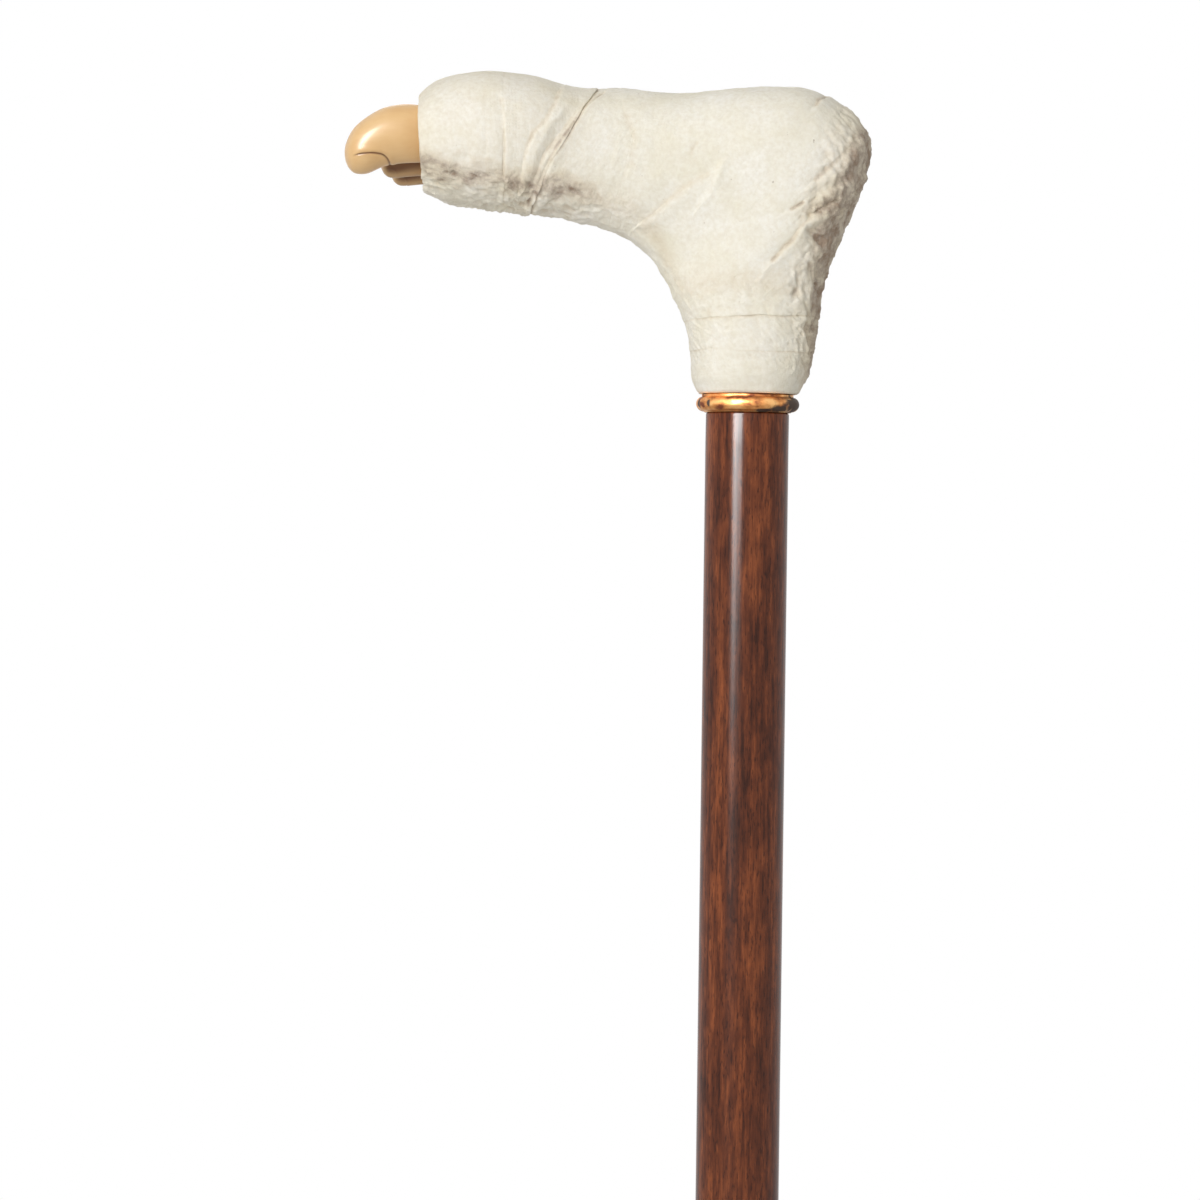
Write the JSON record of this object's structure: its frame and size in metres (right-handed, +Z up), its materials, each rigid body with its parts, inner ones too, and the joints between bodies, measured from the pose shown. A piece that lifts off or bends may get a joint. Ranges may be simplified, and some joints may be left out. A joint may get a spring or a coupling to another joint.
{
  "type": "walking stick",
  "caption": "Walking stick whose palm-rest handle is an upturned carved foot, toes showing, wound in plaster bandage, on a stained wooden shaft with a brass collar.",
  "frame": {"origin": "centre of the rubber tip's underside, where the stick stands on the ground", "axes": "+Z up along the shaft, -X towards the toes and +X towards the heel, -Y on the big toe's side, which the picture shows"},
  "size_m": [0.1309, 0.045, 0.915],
  "materials": {
    "black_rubber": "matte",
    "steel": "plain",
    "brass": "satin, lacquered",
    "stained_wood": "stained reddish brown, with a glossy varnish",
    "gilt_brass": "polished, with a dark patina in its grooves",
    "carved_wood": "carved close-grained pale wood, stained tan and varnished",
    "plaster": "dry plaster on gauze bandage, matt"
  },
  "bodies": {
    "root": {"rubber_tip": "black_rubber", "tip_washer": "steel", "ferrule": "brass", "ferrule_pin": "brass", "shaft": "stained_wood", "handle_stud": "steel", "collar": "gilt_brass", "carved_foot": "carved_wood", "bandage_lining": "plaster", "ankle_bandage": "plaster", "heel_bandage": "plaster", "forefoot_bandage": "plaster"}
  },
  "joints": []
}
